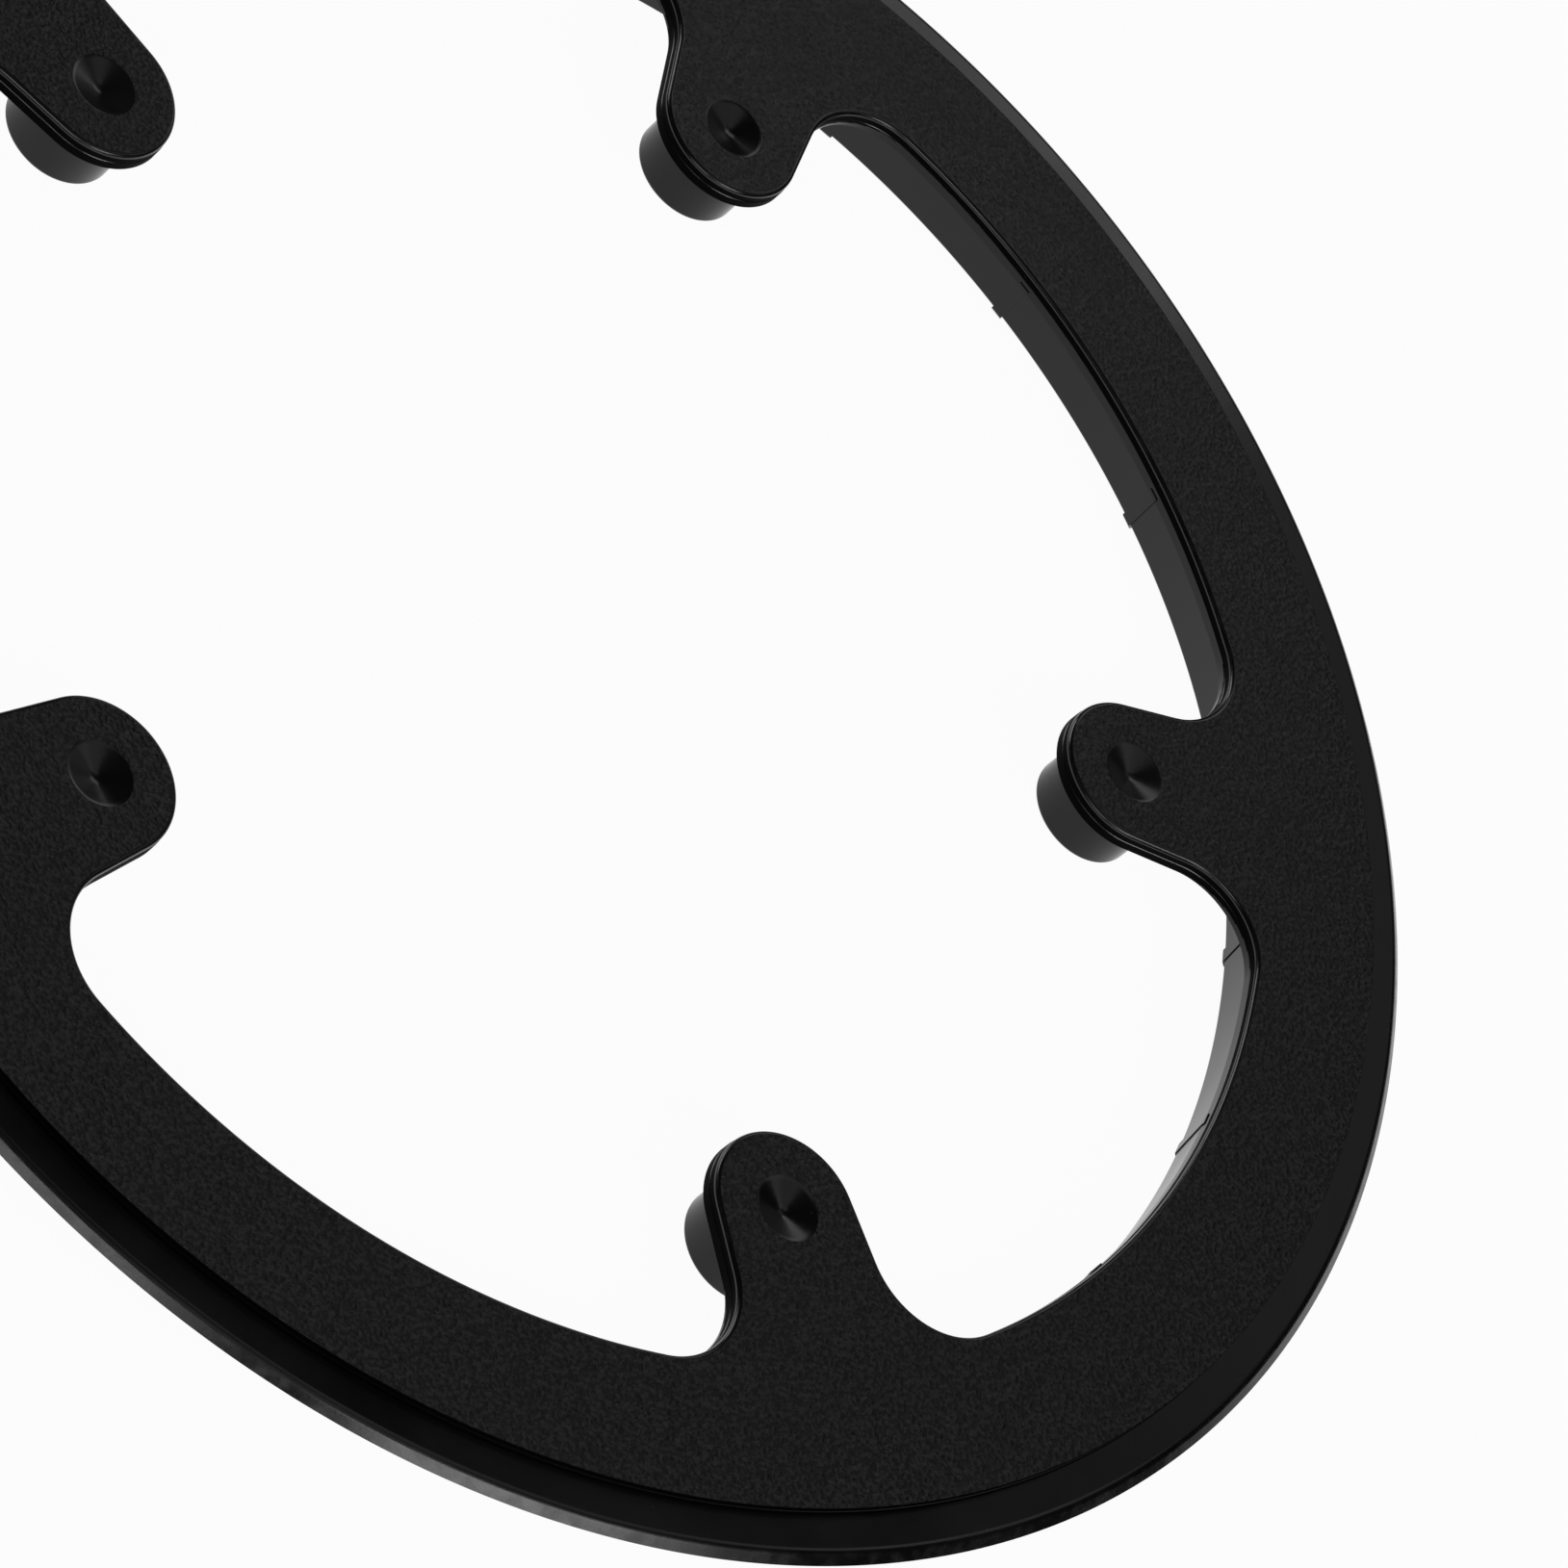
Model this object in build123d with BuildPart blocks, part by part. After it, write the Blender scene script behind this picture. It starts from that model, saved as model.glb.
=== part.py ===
from build123d import *
from math import cos, radians, sin, tan
import os

# Bicycle chain guard, moulded in one piece: a flat ring with a lower rim round it, an inner wall with radial
# ribs behind it, and tabs that each carry a peg at the back. Units are mm. The peg ends lie at z = 0, the
# ring axis is Z and the flat face looks up.

# Plan of the ring, counted outwards from the bolt circle
bolt_circle_r = 55.0
tab_count = 5
tab_reach = 13.3
face_width = 11.8
rim_width = 3.95

# Outline of a tab: rounded tip about the bolt centre, sides that open outwards, filleted root
tip_r = 6.75
side_flare_deg = 5.0
root_r = 7.2

# Heights, counted up from the peg ends and down from the face
height = 7.4
plate_t = 1.8
wall_stand = 1.2
rib_stand = 0.5

# Edges of the plate: bevel round the tab openings and at the step, rim thickness and its rounded outer edge
opening_bevel = 0.5
step_bevel = 0.2
rim_t = 0.8
rim_edge_r = 0.65
rim_land = 0.15

# Inner wall, which opens towards the rear, and the ribs between it and the rim
wall_t = 2.2
wall_draft_deg = 9.0
wall_bevel = 0.3
rib_foot = 0.8
ribs_per_tab = 4
rib_t = 1.2
rib_inset = 0.4

# Pegs with a blind screw pilot, and the dimple opposite each peg
peg_r = 4.95
peg_bevel = 0.4
pilot_r = 1.7
pilot_floor_t = 1.3
dimple_r = 2.85
dimple_depth = 0.9

# Derived radii and levels
inner_r = bolt_circle_r + tab_reach
face_r = inner_r + face_width
outer_r = face_r + rim_width
back_z = height - plate_t
rim_z = back_z + rim_t
wall_back_r = inner_r + wall_t
wall_rear_r = inner_r + (back_z - wall_stand) * tan(radians(wall_draft_deg))
rib_start_r = wall_rear_r + rib_inset
rib_z = wall_stand - rib_stand
rib_count = tab_count * ribs_per_tab
rib_pitch_deg = 360 / rib_count
pilot_depth = height - dimple_depth - pilot_floor_t
flare = radians(side_flare_deg)
side_start = (-tip_r * sin(flare), tip_r * cos(flare))
side_run = tab_reach + wall_t
side_end = (side_start[0] + side_run * cos(flare), side_start[1] + side_run * sin(flare))
lap = plate_t / 4
tol = 0.01

with BuildPart() as rib:
    with BuildSketch(Plane.XZ):
        Polygon(
            (rib_start_r, rib_z),
            (wall_back_r + rib_foot, rib_z),
            (face_r, back_z),
            (face_r, back_z + lap),
            (rib_start_r, back_z + lap),
            align=None,
        )
    extrude(amount=rib_t / 2, both=True)

with BuildPart() as chain_guard:
    # Plate: the ring of the face and its tabs
    with BuildSketch(Plane.XY.offset(back_z)) as plan:
        Circle(face_r)
        Circle(inner_r, mode=Mode.SUBTRACT)
        with PolarLocations(bolt_circle_r, tab_count):
            Circle(tip_r)
            Polygon(
                side_start,
                (side_start[0], -side_start[1]),
                (side_end[0], -side_end[1]),
                side_end,
                align=None,
            )
        fillet(plan.vertices().filter_by(lambda v: abs(v.center().length - inner_r) < tol), root_r)
    extrude(amount=plate_t)
    face = chain_guard.faces().sort_by(Axis.Z)[-1]
    opening_edges = face.inner_wires()[0].edges()
    step_edges = face.outer_wire().edges()
    chamfer(opening_edges, opening_bevel)
    chamfer(step_edges, step_bevel)

    # Rim outside the step, lower than the face, with its edge rounded within its thickness
    with BuildSketch(Plane.XZ) as rim:
        with BuildLine():
            Polyline(
                (face_r - lap, rim_z),
                (face_r - lap, back_z),
                (outer_r, back_z),
                (outer_r, rim_z),
                close=True,
            )
        make_face()
        rim_corner = rim.vertices().group_by(Axis.X)[-1].sort_by(Axis.Y)[-1]
        fillet(rim_corner, min(rim_edge_r, rim_t - rim_land))
    revolve(axis=Axis.Z)

    # Inner wall behind the face
    with BuildSketch(Plane.XZ):
        Polygon(
            (wall_rear_r, wall_stand),
            (wall_back_r, wall_stand),
            (wall_back_r, back_z + lap),
            (inner_r, back_z + lap),
            (inner_r, back_z),
            align=None,
        )
    revolve(axis=Axis.Z)
    wall_circles = chain_guard.edges().filter_by(GeomType.CIRCLE)
    chamfer(wall_circles.filter_by(lambda e: abs(e.center().Z - wall_stand) < tol), wall_bevel)

    # Radial ribs, spread evenly and clear of the tab centre lines
    with PolarLocations(0, rib_count, start_angle=rib_pitch_deg / 2):
        add(rib.part)

    # Pegs behind the tabs
    with PolarLocations(bolt_circle_r, tab_count):
        Cylinder(peg_r, back_z + lap, align=(Align.CENTER, Align.CENTER, Align.MIN))
    chamfer(chain_guard.faces().sort_by(Axis.Z)[:tab_count].edges(), peg_bevel)

    # Blind screw pilots in the pegs
    with PolarLocations(bolt_circle_r, tab_count):
        Cylinder(pilot_r, pilot_depth, align=(Align.CENTER, Align.CENTER, Align.MIN), mode=Mode.SUBTRACT)

    # Shallow conical dimples in the face, one over each peg
    with Locations((0, 0, height)):
        with PolarLocations(bolt_circle_r, tab_count):
            Cone(
                0,
                dimple_r,
                dimple_depth,
                align=(Align.CENTER, Align.CENTER, Align.MAX),
                mode=Mode.SUBTRACT,
            )

chain_guard.part.label = "chain_guard"
os.makedirs("parts", exist_ok=True)
export_step(chain_guard.part, "parts/chain_guard.step")
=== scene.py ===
from math import atan2, cos, degrees, pi, radians, sin, sqrt, tan

import bmesh
import bpy
import numpy as np
from mathutils import Matrix, Vector


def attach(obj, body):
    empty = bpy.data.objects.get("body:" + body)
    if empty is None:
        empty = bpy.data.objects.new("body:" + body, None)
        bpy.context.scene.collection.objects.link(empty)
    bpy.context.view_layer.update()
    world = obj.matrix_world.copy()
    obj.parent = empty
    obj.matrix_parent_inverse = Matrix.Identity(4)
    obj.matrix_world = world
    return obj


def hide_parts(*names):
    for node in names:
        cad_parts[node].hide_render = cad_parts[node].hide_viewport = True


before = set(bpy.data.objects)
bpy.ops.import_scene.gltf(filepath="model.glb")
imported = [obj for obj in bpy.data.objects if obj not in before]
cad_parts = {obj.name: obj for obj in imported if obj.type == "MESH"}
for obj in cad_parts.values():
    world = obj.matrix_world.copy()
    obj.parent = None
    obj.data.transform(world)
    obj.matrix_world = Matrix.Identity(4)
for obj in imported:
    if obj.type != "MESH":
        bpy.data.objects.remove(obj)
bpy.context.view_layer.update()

# Sizes of the guard in millimetres: the ring axis is Z, the peg ends lie at z = 0 and the face looks up
MM = 0.001
TABS = 5
BOLT_CIRCLE_R = 55.0
TAB_REACH = 13.3
FACE_WIDTH = 11.8
RIM_WIDTH = 3.95
HEIGHT = 7.4
PLATE_T = 1.8
RIM_T = 0.8

# Outline of a tab
TIP_R = 6.75
FLARE = radians(5.0)
ROOT_R = 7.2

# Edge of the opening and tabs: rounding into the face, and the lip of the parting line
OPENING_ROUND = 0.38
LEDGE = 0.05
PARTING_DEPTH = 0.95

# Step from the face down to the rim, with its fine lip
STEP_ROUND = 0.04
STEP_LEDGE = 0.05
STEP_LEDGE_DEPTH = 0.5
STEP_LEDGE_FALL = 0.0125
STEP_FOOT = 0.06

# Outer edge of the rim: rounded shoulder, bevel and the small rounding at the back
RIM_ROUND = 1.0
RIM_BEVEL_RUN = 0.85
RIM_BEVEL_DROP = 0.76
BACK_ROUND = 0.04

# Wall behind the face, which opens towards the rear
WALL_T = 2.2
WALL_STAND = 1.2
WALL_DRAFT = radians(9.0)
WALL_ROOT = 0.6
WALL_ROUND = 0.4

# Pegs, pilots and dimples
PEG_R = 4.95
PEG_ROOT = 0.5
PEG_ROUND = 0.45
PILOT_R = 1.7
PILOT_FLOOR_T = 1.3
PILOT_BEVEL = 0.25
DIMPLE_R = 2.85
DIMPLE_DEPTH = 0.9
DIMPLE_SOFT = 0.35
DIMPLE_NOSE = 0.7

# Ribs behind the face
RIBS = 20
RIB_T = 1.2
RIB_STAND = 0.5
RIB_FOOT = 0.8
RIB_PROUD = 0.1
RIB_LAP = 0.4

# Radii, levels and turns that follow from the sizes above
INNER_R = BOLT_CIRCLE_R + TAB_REACH
FACE_R = INNER_R + FACE_WIDTH
OUTER_R = FACE_R + RIM_WIDTH
BACK_Z = HEIGHT - PLATE_T
RIM_Z = BACK_Z + RIM_T
FACE_INSET = LEDGE + OPENING_ROUND
WALL_BACK_R = INNER_R + WALL_T
WALL_REAR_R = INNER_R + (BACK_Z - WALL_STAND) * tan(WALL_DRAFT)
PILOT_DEPTH = HEIGHT - DIMPLE_DEPTH - PILOT_FLOOR_T
DIMPLE_EDGE_R = DIMPLE_R + DIMPLE_SOFT
PITCH = 2 * pi / TABS
TIP_TURN = pi / 2 + FLARE

# Steps of the mesh along the outline of one tab, round an edge, up the rear layer and down a dimple's rim
TIP_STEPS = 48
FLANK_STEPS = 4
FILLET_STEPS = 28
GAP_STEPS = 80
NECK_STEPS = 40
ROUND_STEPS = 10
REAR_STEPS = 8
DIMPLE_STEPS = 8

# Joining of the patches, in metres, and the turn past which an edge is sharp
MERGE_DISTANCE = 2e-7
SLIVER = 1e-8
SHARP_TURN = radians(32.0)

# Finishes in the order of the guard's materials; the edge finish is a darker copy with almost no shine, as
# painted shade
GRAINED, SMOOTH, POLISHED, EDGE = range(4)

# Marks and mould texture: scales in waves per metre, depths in metres
PEBBLE_SCALE = 2600.0
PEBBLE_DEPTH = 0.0002
PEBBLE_STRENGTH = 1.0
SPECK_SCALE = 420.0
MOTTLE_SCALE = 110.0
RUB_SCALE = 650.0
WAVE_SCALE = 320.0
WAVE_DEPTH = 0.00006
WAVE_STRENGTH = 0.12
RIPPLE_SCALE = 3600.0
RIPPLE_DEPTH = 0.00004

# Looks of the grain, with a painted glint on the pebble tops over the dark pits, colour of the dust, the blue
# share of bare plastic, and how much rubbing dulls it
PEBBLE_PITS = (0.0003, 0.0003, 0.0003)
PEBBLE_GLINT = (0.018, 0.018, 0.0186)
PEBBLE_RISE = (0.44, 0.62)
GRAIN_ROUGHNESS = (0.34, 0.42)
DUST = (0.03, 0.029, 0.028)
BLUE_SHARE = 1.05
RUB_DULLING = 0.12

# Places of the colour sockets on a Mix node
MIX_FACTOR, MIX_UNDER, MIX_OVER, MIX_RESULT = 0, 6, 7, 2

# Floor a hair under the peg ends, so that the two share no plane, and the share of its own white that shows
HALF_FLOOR = 1.5
FLOOR_Z = -0.05 * MM
FLOOR_PAINT = (0.85, 0.85, 0.85, 1.0)
FLOOR_ROUGHNESS = 0.9
FLOOR_SEEN = 0.96
FLOOR_MIRRORED = 0.9

# Light: strength of the surround, and how far the boxes and the strips stand away, in metres
WORLD_WHITE = (1.0, 1.0, 1.0, 1.0)
WORLD_STRENGTH = 0.01
BOX_DISTANCE = 0.9
STRIP_DISTANCE = 0.36

# Camera, placed about a point on the face; lens and sensor in millimetres
AIM = Vector((-7.51, 21.45, HEIGHT)) * MM
CAMERA_TURN = radians(10.81)
CAMERA_LIFT = radians(43.06)
CAMERA_ROLL = radians(51.01)
CAMERA_DISTANCE = 609.2 * MM
CAMERA_REACH = 20.0
LENS = 174.2
SENSOR = 36.0


def polar(radius, angle, centre=(0.0, 0.0)):
    """Points at the given radius and angles about a centre in the plane."""
    angle = np.asarray(angle, dtype=float)
    return np.stack([centre[0] + radius * np.cos(angle), centre[1] + radius * np.sin(angle)], axis=-1)


def rounding(centre, radius, start, stop):
    """Arc of a section, from one direction in degrees to another about its centre."""
    return polar(radius, np.radians(np.linspace(start, stop, ROUND_STEPS + 1)), centre)


def tab_outline():
    """Half of one tab's outline, from the tip to the middle of the gap, and the direction into the material.

    The tip is an arc about the bolt centre, the flank leaves it at the flare angle, and the root fillet
    touches the flank and the ring arc. Its centre is where the flank moved out by the root radius meets the
    circle that lies the root radius inside the ring arc. The angle where it meets the ring arc is given too.
    """
    bolt = np.array([BOLT_CIRCLE_R, 0.0])
    normal = np.array([-sin(FLARE), cos(FLARE)])
    along = np.array([cos(FLARE), sin(FLARE)])
    start = bolt + (TIP_R + ROOT_R) * normal
    reach = -start @ along + sqrt((start @ along) ** 2 - start @ start + (INNER_R - ROOT_R) ** 2)
    fillet_centre = start + reach * along
    fillet_turn = atan2(fillet_centre[1], fillet_centre[0])

    tip_angle = np.linspace(pi, TIP_TURN, TIP_STEPS // 2 + 1)
    flank_run = np.linspace(0.0, reach, FLANK_STEPS + 1)[:, None]
    fillet_angle = np.linspace(FLARE - pi / 2, fillet_turn, FILLET_STEPS + 1)
    gap_angle = np.linspace(fillet_turn, PITCH / 2, GAP_STEPS // 2 + 1)
    pieces = [
        (polar(TIP_R, tip_angle, bolt), -polar(1.0, tip_angle)),
        (bolt + TIP_R * normal + flank_run * along, np.tile(-normal, (FLANK_STEPS + 1, 1))),
        (polar(ROOT_R, fillet_angle, fillet_centre), polar(1.0, fillet_angle)),
        (polar(INNER_R, gap_angle), polar(1.0, gap_angle)),
    ]
    points = np.concatenate([piece[0][:-1] for piece in pieces] + [pieces[-1][0][-1:]])
    inward = np.concatenate([piece[1][:-1] for piece in pieces] + [pieces[-1][1][-1:]])
    return points, inward, fillet_turn


def ring_turns(gap_turn):
    """Angles round the ring: for every tab the steps of its neck, then those of the gap up to the next."""
    period = np.concatenate([
        np.linspace(-gap_turn, gap_turn, NECK_STEPS + 1)[:-1],
        np.linspace(gap_turn, PITCH - gap_turn, GAP_STEPS + 1)[:-1],
    ])
    return np.concatenate([period + k * PITCH for k in range(TABS)])


def turned(points, angle):
    """Points turned about the ring axis."""
    c, s = cos(angle), sin(angle)
    x, y = points[..., 0], points[..., 1]
    return np.stack([c * x - s * y, s * x + c * y, *np.moveaxis(points[..., 2:], -1, 0)], axis=-1)


def whole_loop(half):
    """Closed loop round the ring from half of one tab: its mirror image, then itself, once for every tab."""
    mirror = half[::-1] * (1.0, -1.0)
    period = np.concatenate([mirror[:-1], half[:-1]])
    return np.concatenate([turned(period, k * PITCH) for k in range(TABS)])


def raised(points, level):
    """Plane points lifted to one height."""
    return np.concatenate([points, np.full(points.shape[:-1] + (1,), level)], axis=-1)


def swept(loop, inward, section):
    """Grid of a section carried round a loop: every row is the loop moved into the material and lifted."""
    return np.stack([raised(loop + depth * inward, level) for depth, level in section])


def revolved(section, angles, centre=(0.0, 0.0)):
    """Grid of a section of radius and height turned about an upright axis."""
    return np.stack([raised(polar(radius, angles, centre), level) for radius, level in section])


def neck(half, inward, inset, level):
    """Flat patch of a tab between the circle about its bolt centre and the ring arc.

    It is worked out in radius and angle about the ring axis: every row runs from flank to flank at the radius
    of its side points, and the bulge of the circle dies away in step with that radius.
    """
    steps = slice(TIP_STEPS // 2, TIP_STEPS // 2 + FLANK_STEPS + FILLET_STEPS + 1)
    side = (half + inset * inward)[steps]
    circle_angle = np.linspace(-TIP_TURN, TIP_TURN, NECK_STEPS + 1)
    circle = polar(TIP_R - inset, circle_angle, (BOLT_CIRCLE_R, 0.0))
    side_r, side_turn = np.hypot(*side.T)[:, None], np.arctan2(side[:, 1], side[:, 0])[:, None]
    circle_r, circle_turn = np.hypot(*circle.T), np.arctan2(circle[:, 1], circle[:, 0])
    across = np.linspace(-1.0, 1.0, NECK_STEPS + 1)
    fade = (side_r[-1] - side_r) / (side_r[-1] - side_r[0])
    radius = side_r + fade * (circle_r - side_r[0])
    turn = side_turn * across + fade * (circle_turn - side_turn[0] * across)
    return raised(polar(radius, turn), level)


def grid_faces(rows, columns, wrap):
    """Quads of a grid whose points are numbered row by row; on request its last column joins the first."""
    row = np.arange(rows - 1)[:, None] * columns
    column = np.arange(columns if wrap else columns - 1)[None, :]
    beside = (column + 1) % columns
    corners = [row + column, row + beside, row + columns + beside, row + columns + column]
    return np.stack(corners, axis=-1).reshape(-1, 4)


class Shell:
    """Points and faces gathered patch by patch, each patch with its finish."""

    def __init__(self):
        self.points = []
        self.faces = []
        self.slots = []
        self.count = 0

    def add(self, points, slot, *blocks):
        """Adds points and blocks of faces that number them from nought.

        The finish is one for all the faces, or one for each face in turn.
        """
        points = points.reshape(-1, 3)
        self.points.append(points)
        for block in blocks:
            self.faces += (block + self.count).tolist()
        self.slots += np.resize(slot, sum(len(block) for block in blocks)).tolist()
        self.count += len(points)

    def grid(self, points, slot, wrap=False):
        """Adds a grid of points; a finish for each face goes row by row."""
        self.add(points, slot, grid_faces(points.shape[0], points.shape[1], wrap))

    def build(self, name, materials):
        """Object in metres: patches joined where they meet, faces turned outwards, sharp edges kept hard."""
        mesh = bpy.data.meshes.new(name)
        mesh.from_pydata(np.concatenate(self.points) * MM, [], self.faces)
        for material in materials:
            mesh.materials.append(material)
        mesh.polygons.foreach_set("material_index", np.array(self.slots, dtype=np.int32))
        merged = bmesh.new()
        merged.from_mesh(mesh)
        bmesh.ops.remove_doubles(merged, verts=merged.verts, dist=MERGE_DISTANCE)
        bmesh.ops.dissolve_degenerate(merged, edges=merged.edges, dist=SLIVER)
        bmesh.ops.recalc_face_normals(merged, faces=merged.faces)
        merged.to_mesh(mesh)
        merged.free()
        mesh.polygons.foreach_set("use_smooth", np.ones(len(mesh.polygons), dtype=bool))
        mesh.set_sharp_from_angle(angle=SHARP_TURN)
        piece = bpy.data.objects.new(name, mesh)
        bpy.context.scene.collection.objects.link(piece)
        weighted = piece.modifiers.new("even_normals", "WEIGHTED_NORMAL")
        weighted.keep_sharp = True
        return piece


def add_opening_edge(shell, half, inward):
    """Edge of the opening and tabs: rear layer, lip of the parting line, front layer, rounding into the face.

    Each is a section carried round the whole outline. The rear layer has the dark edge finish, painted shade,
    on the tabs and is polished like the wall in the gaps; on the root fillet the line between the two climbs
    evenly to the parting line.
    """
    loop, loop_inward = whole_loop(half), whole_loop(inward)
    parting_z = HEIGHT - PARTING_DEPTH
    tab_part = np.zeros(TIP_STEPS // 2 + FLANK_STEPS)
    fillet_part = np.linspace(0.0, 1.0, FILLET_STEPS)
    gap_part = np.ones(GAP_STEPS // 2)
    half_climb = np.concatenate([tab_part, fillet_part, gap_part])
    climb = np.tile(np.concatenate([half_climb[::-1], half_climb]), TABS)
    rear_height = (np.arange(REAR_STEPS) + 0.5) / REAR_STEPS
    # Painted shade: the dark edge finish on the tabs' rear layer, the polished finish in the gaps
    rear_slots = np.where(rear_height[:, None] > climb, EDGE, POLISHED).ravel()
    rear = [(0.0, level) for level in np.linspace(BACK_Z, parting_z - LEDGE, REAR_STEPS + 1)]
    lip = [(0.0, parting_z - LEDGE), (LEDGE, parting_z)]
    front = [(LEDGE, parting_z), (LEDGE, HEIGHT - OPENING_ROUND)]
    brow = rounding((FACE_INSET, HEIGHT - OPENING_ROUND), OPENING_ROUND, 180, 90)
    for section, slot in ((rear, rear_slots), (lip, SMOOTH), (front, EDGE), (brow, SMOOTH)):
        shell.grid(swept(loop, loop_inward, section), slot, wrap=True)


def add_face_and_rim(shell, angles):
    """Flat of the face, step with its lip and foot, and rim with its bevel, all turned about the ring axis.

    The shoulder of the rim is an arc that touches its flat and the bevel, so it starts before the corner of
    the two by the shoulder radius times the tangent of half the bevel's slope angle.
    """
    face = [(INNER_R + FACE_INSET, HEIGHT), (FACE_R - STEP_ROUND, HEIGHT)]
    lip_z = HEIGHT - STEP_LEDGE_DEPTH
    foot_r = FACE_R + STEP_LEDGE + STEP_FOOT
    step_top = np.concatenate([
        rounding((FACE_R - STEP_ROUND, HEIGHT - STEP_ROUND), STEP_ROUND, 90, 0),
        [(FACE_R, lip_z)],
    ])
    step_lip = [(FACE_R, lip_z), (FACE_R + STEP_LEDGE, lip_z - STEP_LEDGE_FALL)]
    step_foot = np.concatenate([
        step_lip[1:],
        rounding((foot_r, RIM_Z + STEP_FOOT), STEP_FOOT, 180, 270),
    ])
    bevel_turn = atan2(RIM_BEVEL_DROP, RIM_BEVEL_RUN)
    shoulder_r = OUTER_R - RIM_BEVEL_RUN - RIM_ROUND * tan(bevel_turn / 2)
    rim = np.concatenate([
        [(foot_r, RIM_Z)],
        rounding((shoulder_r, RIM_Z - RIM_ROUND), RIM_ROUND, 90, 90 - degrees(bevel_turn)),
        rounding((OUTER_R - BACK_ROUND, BACK_Z + BACK_ROUND), BACK_ROUND, 0, -90),
    ])
    # The top and the foot of the step take the dark edge finish, painted shade
    sections = ((face, GRAINED), (step_top, EDGE), (step_lip, SMOOTH), (step_foot, EDGE), (rim, SMOOTH))
    for section, slot in sections:
        shell.grid(revolved(section, angles), slot, wrap=True)


def add_back_and_wall(shell, angles):
    """Back of the ring and the wall round the opening, as one section turned about the ring axis.

    It runs inwards along the back, down the outside of the wall, round its end and up the drafted inside.
    """
    end_z = WALL_STAND + WALL_ROUND
    inner_end_r = INNER_R + (BACK_Z - end_z) * tan(WALL_DRAFT) + WALL_ROUND / cos(WALL_DRAFT)
    section = np.concatenate([
        [(OUTER_R - BACK_ROUND, BACK_Z)],
        rounding((WALL_BACK_R + WALL_ROOT, BACK_Z - WALL_ROOT), WALL_ROOT, 90, 180),
        rounding((WALL_BACK_R - WALL_ROUND, end_z), WALL_ROUND, 0, -90),
        rounding((inner_end_r, end_z), WALL_ROUND, -90, -180 + degrees(WALL_DRAFT)),
        [(INNER_R, BACK_Z)],
    ])
    shell.grid(revolved(section, angles), POLISHED, wrap=True)


def dimple_section():
    """Section of a dimple in radius and height: a cone whose rim and tip are rounded by parabolas.

    The rim falls with the square of the way in from its edge until it has the cone's slope, and the nose
    rises with the square of the radius until it has that slope.
    """
    slope = DIMPLE_DEPTH / DIMPLE_R
    rim_r = np.linspace(DIMPLE_EDGE_R, DIMPLE_R - DIMPLE_SOFT, DIMPLE_STEPS + 1)
    nose_r = np.linspace(DIMPLE_NOSE, 0.0, DIMPLE_STEPS // 2 + 1)
    rim_z = HEIGHT - slope * (DIMPLE_EDGE_R - rim_r) ** 2 / (4 * DIMPLE_SOFT)
    nose_z = HEIGHT - DIMPLE_DEPTH + slope * (DIMPLE_NOSE ** 2 + nose_r ** 2) / (2 * DIMPLE_NOSE)
    return np.stack([np.concatenate([rim_r, nose_r]), np.concatenate([rim_z, nose_z])], axis=-1)


def peg_section():
    """Section of a peg in radius and height: root fillet, side, rounded end and the blind pilot."""
    return np.concatenate([
        rounding((PEG_R + PEG_ROOT, BACK_Z - PEG_ROOT), PEG_ROOT, 90, 180),
        rounding((PEG_R - PEG_ROUND, PEG_ROUND), PEG_ROUND, 0, -90),
        [(PILOT_R + PILOT_BEVEL, 0.0), (PILOT_R, PILOT_BEVEL), (PILOT_R, PILOT_DEPTH), (0.0, PILOT_DEPTH)],
    ])


def add_tabs(shell, half, inward):
    """Front and back of every tab: sections turned about the bolt centre, and necks out to the ring.

    The outer half of a dimple's soft rim still has the grain of the face.
    """
    bolt = (BOLT_CIRCLE_R, 0.0)
    angles = np.concatenate([
        np.linspace(TIP_TURN, 2 * pi - TIP_TURN, TIP_STEPS + 1)[:-1],
        np.linspace(-TIP_TURN, TIP_TURN, NECK_STEPS + 1)[:-1],
    ])
    front = [(DIMPLE_EDGE_R, HEIGHT), (TIP_R - FACE_INSET, HEIGHT)]
    back = [(TIP_R, BACK_Z), (PEG_R + PEG_ROOT, BACK_Z)]
    dimple = dimple_section()
    dimple_rows = np.where(np.arange(len(dimple) - 1) < DIMPLE_STEPS // 2, GRAINED, SMOOTH)
    patches = [
        (revolved(front, angles, bolt), GRAINED, True),
        (neck(half, inward, FACE_INSET, HEIGHT), GRAINED, False),
        (revolved(dimple, angles, bolt), np.repeat(dimple_rows, len(angles)), True),
        (revolved(back, angles, bolt), POLISHED, True),
        (neck(half, inward, 0.0, BACK_Z), POLISHED, False),
        (revolved(peg_section(), angles, bolt), POLISHED, True),
    ]
    for k in range(TABS):
        for points, slot, wrap in patches:
            shell.grid(turned(points, k * PITCH), slot, wrap)


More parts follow.
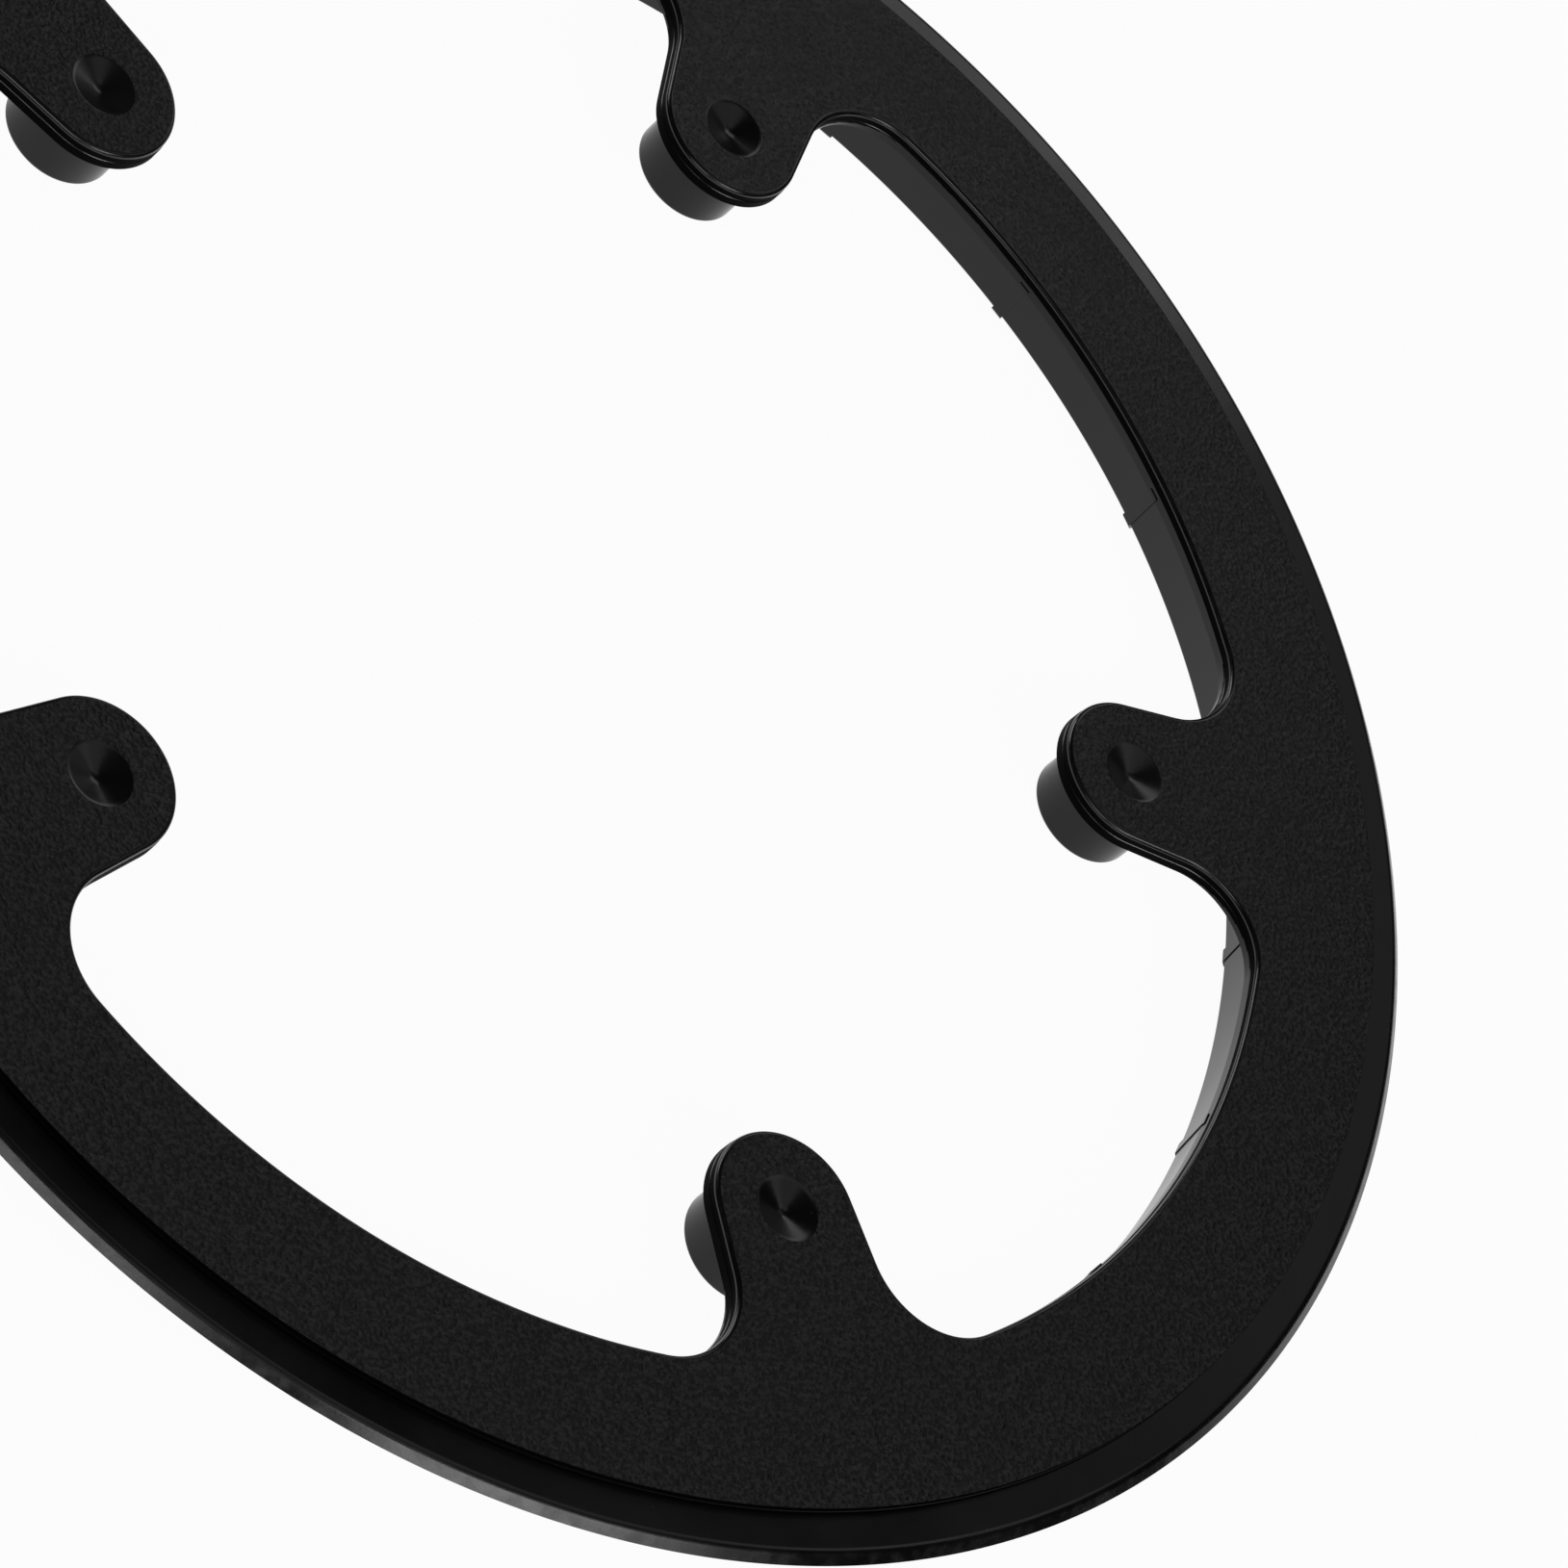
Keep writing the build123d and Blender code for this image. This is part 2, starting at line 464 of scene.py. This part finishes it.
def add_ribs(shell):
    """Ribs as closed prisms lapped into the shell, spread evenly and clear of the tabs' middle lines.

    A rib's upright section, in radius and height, is spread to both sides of the rib's plane and then turned.
    """
    low = WALL_STAND - RIB_STAND
    nose = WALL_REAR_R - RIB_PROUD
    section = np.array([
        (nose + RIB_STAND, low),
        (WALL_BACK_R + RIB_FOOT, low),
        (FACE_R, BACK_Z),
        (FACE_R, BACK_Z + RIB_LAP),
        (INNER_R - RIB_PROUD, BACK_Z + RIB_LAP),
        (INNER_R - RIB_PROUD, BACK_Z),
        (nose, WALL_STAND),
    ])
    prism = np.concatenate([np.insert(section, 1, y, axis=1) for y in (-RIB_T / 2, RIB_T / 2)])
    count = len(section)
    corner = np.arange(count)
    beside = np.roll(corner, -1)
    ends = np.stack([corner, corner[::-1] + count])
    sides = np.stack([corner, beside, beside + count, corner + count], axis=-1)
    for k in range(RIBS):
        shell.add(turned(prism, (k + 0.5) * 2 * pi / RIBS), POLISHED, ends, sides)


def guard_shell():
    """The whole moulding as one closed surface, with the ribs as closed prisms lapped into it."""
    shell = Shell()
    half, inward, gap_turn = tab_outline()
    angles = ring_turns(gap_turn)
    add_opening_edge(shell, half, inward)
    add_face_and_rim(shell, angles)
    add_back_and_wall(shell, angles)
    add_tabs(shell, half, inward)
    add_ribs(shell)
    return shell


def new_material(name):
    """Node material with a Principled shader wired to its output."""
    material = bpy.data.materials.new(name)
    material.use_nodes = True
    return material, material.node_tree


def noise(tree, place, scale, detail):
    """Soft noise over the piece's own coordinates; its scale is in waves per metre."""
    node = tree.nodes.new("ShaderNodeTexNoise")
    node.inputs["Scale"].default_value = scale
    node.inputs["Detail"].default_value = detail
    tree.links.new(place.outputs["Object"], node.inputs["Vector"])
    return node.outputs["Fac"]


def spread(tree, value, source=(0.0, 1.0), target=(0.0, 1.0)):
    """Value carried straight from one range to another and held at both ends."""
    node = tree.nodes.new("ShaderNodeMapRange")
    for socket, number in zip(("From Min", "From Max", "To Min", "To Max"), (*source, *target)):
        node.inputs[socket].default_value = number
    tree.links.new(value, node.inputs["Value"])
    return node.outputs["Result"]


def worked(tree, operation, first, second):
    """Two values joined by one step of arithmetic."""
    node = tree.nodes.new("ShaderNodeMath")
    node.operation = operation
    tree.links.new(first, node.inputs[0])
    tree.links.new(second, node.inputs[1])
    return node.outputs["Value"]


def tinted(tree, factor, colour, plain=None, under=None):
    """Colour laid over a plain colour, or over an earlier result, by a factor."""
    node = tree.nodes.new("ShaderNodeMix")
    node.data_type = "RGBA"
    tree.links.new(factor, node.inputs[MIX_FACTOR])
    if under is None:
        node.inputs[MIX_UNDER].default_value = (*plain, 1.0)
    else:
        tree.links.new(under, node.inputs[MIX_UNDER])
    node.inputs[MIX_OVER].default_value = (*colour, 1.0)
    return node.outputs[MIX_RESULT]


def bumped(tree, height, strength, distance, over=None):
    """Surface direction tipped by a height, on top of an earlier one where there is one."""
    node = tree.nodes.new("ShaderNodeBump")
    node.inputs["Strength"].default_value = strength
    node.inputs["Distance"].default_value = distance
    tree.links.new(height, node.inputs["Height"])
    if over is not None:
        tree.links.new(over, node.inputs["Normal"])
    return node.outputs["Normal"]


def named_group(name, inputs, outputs):
    """Empty node group with its named inputs, given with their first values, and its named outputs."""
    group = bpy.data.node_groups.new(name, "ShaderNodeTree")
    for title, value in inputs.items():
        socket = group.interface.new_socket(name=title, in_out="INPUT", socket_type="NodeSocketFloat")
        socket.default_value = value
    for title, kind in outputs.items():
        group.interface.new_socket(name=title, in_out="OUTPUT", socket_type=kind)
    return group, group.nodes.new("NodeGroupInput"), group.nodes.new("NodeGroupOutput")


def placed(tree, group, **values):
    """Node group set into a material with the material's own values on its inputs."""
    node = tree.nodes.new("ShaderNodeGroup")
    node.node_tree = group
    for title, value in values.items():
        node.inputs[title.replace("_", " ")].default_value = value
    return node.outputs


def marks_group():
    """Marks of use that the finishes share: dust specks, a cloudy mottle and rubbed edges.

    A speck is the core of a cell of cellular noise, the mottle is slow noise, and an edge is rubbed where the
    surface leans half-way between level and upright and a quicker noise lets it.
    """
    group, given, result = named_group(
        "moulding_marks",
        {"Speck Reach": 0.06, "Rub Start": 0.45},
        {"Specks": "NodeSocketFloat", "Mottle": "NodeSocketFloat", "Wear": "NodeSocketFloat"},
    )
    place = group.nodes.new("ShaderNodeTexCoord")
    cells = group.nodes.new("ShaderNodeTexVoronoi")
    cells.inputs["Scale"].default_value = SPECK_SCALE
    group.links.new(place.outputs["Object"], cells.inputs["Vector"])
    specks = spread(group, cells.outputs["Distance"], target=(1.0, 0.0))
    group.links.new(given.outputs["Speck Reach"], specks.node.inputs["From Max"])
    mottle = spread(group, noise(group, place, MOTTLE_SCALE, detail=4.0), source=(0.3, 0.7))
    facing = group.nodes.new("ShaderNodeSeparateXYZ")
    group.links.new(place.outputs["Normal"], facing.inputs["Vector"])
    risen = spread(group, facing.outputs["Z"], source=(0.35, 0.7))
    level = spread(group, facing.outputs["Z"], source=(0.75, 0.97), target=(1.0, 0.0))
    rubbed = spread(group, noise(group, place, RUB_SCALE, detail=3.0), source=(0.0, 0.75))
    group.links.new(given.outputs["Rub Start"], rubbed.node.inputs["From Min"])
    wear = worked(group, "MULTIPLY", worked(group, "MULTIPLY", risen, level), rubbed)
    for title, value in (("Specks", specks), ("Mottle", mottle), ("Wear", wear)):
        group.links.new(value, result.inputs[title])
    return group


def ripple_group():
    """Surface of the bare mould: slow waves and a quick fine ripple, one bump on top of the other."""
    group, given, result = named_group("mould_ripple", {"Ripple": 0.1}, {"Normal": "NodeSocketVector"})
    place = group.nodes.new("ShaderNodeTexCoord")
    slow, quick = noise(group, place, WAVE_SCALE, detail=1.0), noise(group, place, RIPPLE_SCALE, detail=1.0)
    waves = bumped(group, slow, WAVE_STRENGTH, WAVE_DEPTH)
    ripple = bumped(group, quick, 0.0, RIPPLE_DEPTH, over=waves)
    group.links.new(given.outputs["Ripple"], ripple.node.inputs["Strength"])
    group.links.new(ripple, result.inputs["Normal"])
    return group


def grained_plastic(marks_of_use):
    """Black plastic with the fine pebble grain of an eroded mould, the pebble tops painted paler as a glint,
    some dust.
    """
    material, tree = new_material("grained_black_plastic")
    shader = tree.nodes["Principled BSDF"]
    place = tree.nodes.new("ShaderNodeTexCoord")
    marks = placed(tree, marks_of_use, Speck_Reach=0.05)
    pebble = noise(tree, place, PEBBLE_SCALE, detail=2.0)
    # Painted glint: the colour goes from the dark pits to pale on the pebble tops
    glint_share = spread(tree, pebble, source=PEBBLE_RISE)
    colour = tinted(tree, glint_share, PEBBLE_GLINT, plain=PEBBLE_PITS)
    colour = tinted(tree, marks["Specks"], DUST, under=colour)
    tree.links.new(colour, shader.inputs["Base Color"])
    tree.links.new(spread(tree, marks["Mottle"], target=GRAIN_ROUGHNESS), shader.inputs["Roughness"])
    tree.links.new(bumped(tree, pebble, PEBBLE_STRENGTH, PEBBLE_DEPTH), shader.inputs["Normal"])
    return material


def bare_plastic(name, marks_of_use, mould, deep, pale, rubbed, sleek, dull, ripple, shine):
    """Black plastic where the mould was bare: faint ripple, edges rubbed paler and duller, some dust.

    Its colour goes from deep to pale and its roughness from sleek to dull with the mottle.
    """
    material, tree = new_material(name)
    shader = tree.nodes["Principled BSDF"]
    shader.inputs["Specular IOR Level"].default_value = shine
    marks = placed(tree, marks_of_use, Speck_Reach=0.06, Rub_Start=0.45)
    deep_colour, pale_colour = (deep, deep, BLUE_SHARE * deep), (pale, pale, BLUE_SHARE * pale)
    colour = tinted(tree, marks["Mottle"], pale_colour, plain=deep_colour)
    colour = tinted(tree, marks["Wear"], (rubbed, rubbed, rubbed), under=colour)
    colour = tinted(tree, marks["Specks"], DUST, under=colour)
    tree.links.new(colour, shader.inputs["Base Color"])
    gloss = spread(tree, marks["Mottle"], target=(sleek, dull))
    duller = spread(tree, marks["Wear"], target=(0.0, RUB_DULLING))
    tree.links.new(worked(tree, "ADD", gloss, duller), shader.inputs["Roughness"])
    tree.links.new(placed(tree, mould, Ripple=ripple)["Normal"], shader.inputs["Normal"])
    return material


def guard_finishes():
    """The four finishes of the one black plastic, in the order of their numbers."""
    shared = {"marks_of_use": marks_group(), "mould": ripple_group()}
    return [
        grained_plastic(shared["marks_of_use"]),
        bare_plastic(
            "smooth_black_plastic", **shared,
            deep=0.003, pale=0.0055, rubbed=0.012, sleek=0.18, dull=0.26, ripple=0.08, shine=0.5,
        ),
        bare_plastic(
            "polished_black_plastic", **shared,
            deep=0.0012, pale=0.0026, rubbed=0.008, sleek=0.15, dull=0.22, ripple=0.04, shine=0.3,
        ),
        # Darker edge finish with almost no shine: painted shade for the black bands on the edges and the step
        bare_plastic(
            "shade_painted_edge_plastic", **shared,
            deep=0.0007, pale=0.0014, rubbed=0.0028, sleek=0.5, dull=0.6, ripple=0.3, shine=0.02,
        ),
    ]


def floor_material():
    """White floor: to the camera and in reflections nearly all its own white, the rest lit and shadowed."""
    material, tree = new_material("white_floor")
    shader = tree.nodes["Principled BSDF"]
    shader.inputs["Base Color"].default_value = FLOOR_PAINT
    shader.inputs["Roughness"].default_value = FLOOR_ROUGHNESS
    shader.inputs["Specular IOR Level"].default_value = 0.0
    glow = tree.nodes.new("ShaderNodeEmission")
    path = tree.nodes.new("ShaderNodeLightPath")
    seen = spread(tree, path.outputs["Is Camera Ray"], target=(0.0, FLOOR_SEEN))
    mirrored = spread(tree, path.outputs["Is Glossy Ray"], target=(0.0, FLOOR_MIRRORED))
    mix = tree.nodes.new("ShaderNodeMixShader")
    tree.links.new(worked(tree, "MAXIMUM", seen, mirrored), mix.inputs["Fac"])
    tree.links.new(shader.outputs["BSDF"], mix.inputs[1])
    tree.links.new(glow.outputs["Emission"], mix.inputs[2])
    tree.links.new(mix.outputs["Shader"], tree.nodes["Material Output"].inputs["Surface"])
    return material


def new_floor():
    """Level square about the ring axis."""
    corners = HALF_FLOOR * np.array([(-1.0, -1.0), (1.0, -1.0), (1.0, 1.0), (-1.0, 1.0)])
    mesh = bpy.data.meshes.new("floor")
    mesh.from_pydata(raised(corners, FLOOR_Z), [], [(0, 1, 2, 3)])
    mesh.materials.append(floor_material())
    square = bpy.data.objects.new("floor", mesh)
    bpy.context.scene.collection.objects.link(square)
    return square


def studio_world():
    """Dim, even surround."""
    world = bpy.data.worlds.new("studio")
    world.use_nodes = True
    background = world.node_tree.nodes["Background"]
    background.inputs["Color"].default_value = WORLD_WHITE
    background.inputs["Strength"].default_value = WORLD_STRENGTH
    bpy.context.scene.world = world


def softbox(name, turn, lift, width, height, radiance, distance=BOX_DISTANCE):
    """Rectangular lamp that faces the guard, at a turn and lift in degrees; power is radiance x pi x area."""
    data = bpy.data.lights.new(name, "AREA")
    data.shape = "RECTANGLE"
    data.size = width
    data.size_y = height
    data.energy = radiance * pi * width * height
    turn, lift = radians(turn), radians(lift)
    away = Vector((cos(lift) * cos(turn), cos(lift) * sin(turn), sin(lift)))
    lamp = bpy.data.objects.new(name, data)
    lamp.location = distance * away
    lamp.rotation_euler = away.to_track_quat("Z", "Y").to_euler()
    bpy.context.scene.collection.objects.link(lamp)


def strip(name, **values):
    """Small lamp close to the guard, whose reflection fades along the face."""
    softbox(name, distance=STRIP_DISTANCE, **values)


def studio_lamps():
    """Boxes in front, right, left, above and behind, and strips that the face mirrors to the camera."""
    softbox("front_box", turn=25.0, lift=37.0, width=0.4, height=0.32, radiance=3.2)
    softbox("right_box", turn=80.0, lift=37.0, width=0.4, height=0.32, radiance=4.8)
    softbox("low_right_box", turn=60.0, lift=12.0, width=0.4, height=0.32, radiance=1.2)
    softbox("high_right_box", turn=75.0, lift=62.0, width=0.5, height=0.4, radiance=0.3)
    softbox("overhead_box", turn=20.0, lift=83.0, width=0.4, height=0.4, radiance=0.06)
    softbox("low_back_box", turn=185.0, lift=12.0, width=0.4, height=0.32, radiance=0.06)
    softbox("high_back_box", turn=157.0, lift=66.0, width=0.4, height=0.3, radiance=0.35)
    softbox("back_right_box", turn=154.0, lift=48.0, width=0.25, height=0.25, radiance=0.45)
    strip("back_strip", turn=180.0, lift=36.0, width=0.16, height=0.1, radiance=0.21)
    strip("back_left_strip", turn=203.0, lift=33.0, width=0.16, height=0.1, radiance=0.95)
    strip("back_right_strip", turn=150.0, lift=45.0, width=0.2, height=0.12, radiance=0.06)
    softbox("left_box", turn=258.0, lift=16.0, width=0.5, height=0.3, radiance=3.6)


def add_camera():
    """Camera at a turn and lift about the aim point, rolled about its own axis."""
    data = bpy.data.cameras.new("camera")
    data.lens = LENS
    data.sensor_width = SENSOR
    data.clip_end = CAMERA_REACH
    back = Vector((
        cos(CAMERA_LIFT) * cos(CAMERA_TURN),
        cos(CAMERA_LIFT) * sin(CAMERA_TURN),
        sin(CAMERA_LIFT),
    ))
    level_right = Vector((0.0, 0.0, 1.0)).cross(back).normalized()
    level_up = back.cross(level_right)
    right = cos(CAMERA_ROLL) * level_right + sin(CAMERA_ROLL) * level_up
    up = cos(CAMERA_ROLL) * level_up - sin(CAMERA_ROLL) * level_right
    camera = bpy.data.objects.new("camera", data)
    turn = Matrix((right, up, back)).transposed().to_4x4()
    camera.matrix_world = Matrix.Translation(AIM + CAMERA_DISTANCE * back) @ turn
    bpy.context.scene.collection.objects.link(camera)
    bpy.context.scene.camera = camera


guard = guard_shell().build("chain_guard_moulding", guard_finishes())
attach(guard, "root")
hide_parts("chain_guard")

floor = new_floor()

studio_world()
studio_lamps()
add_camera()
bpy.context.scene.view_settings.view_transform = "Standard"
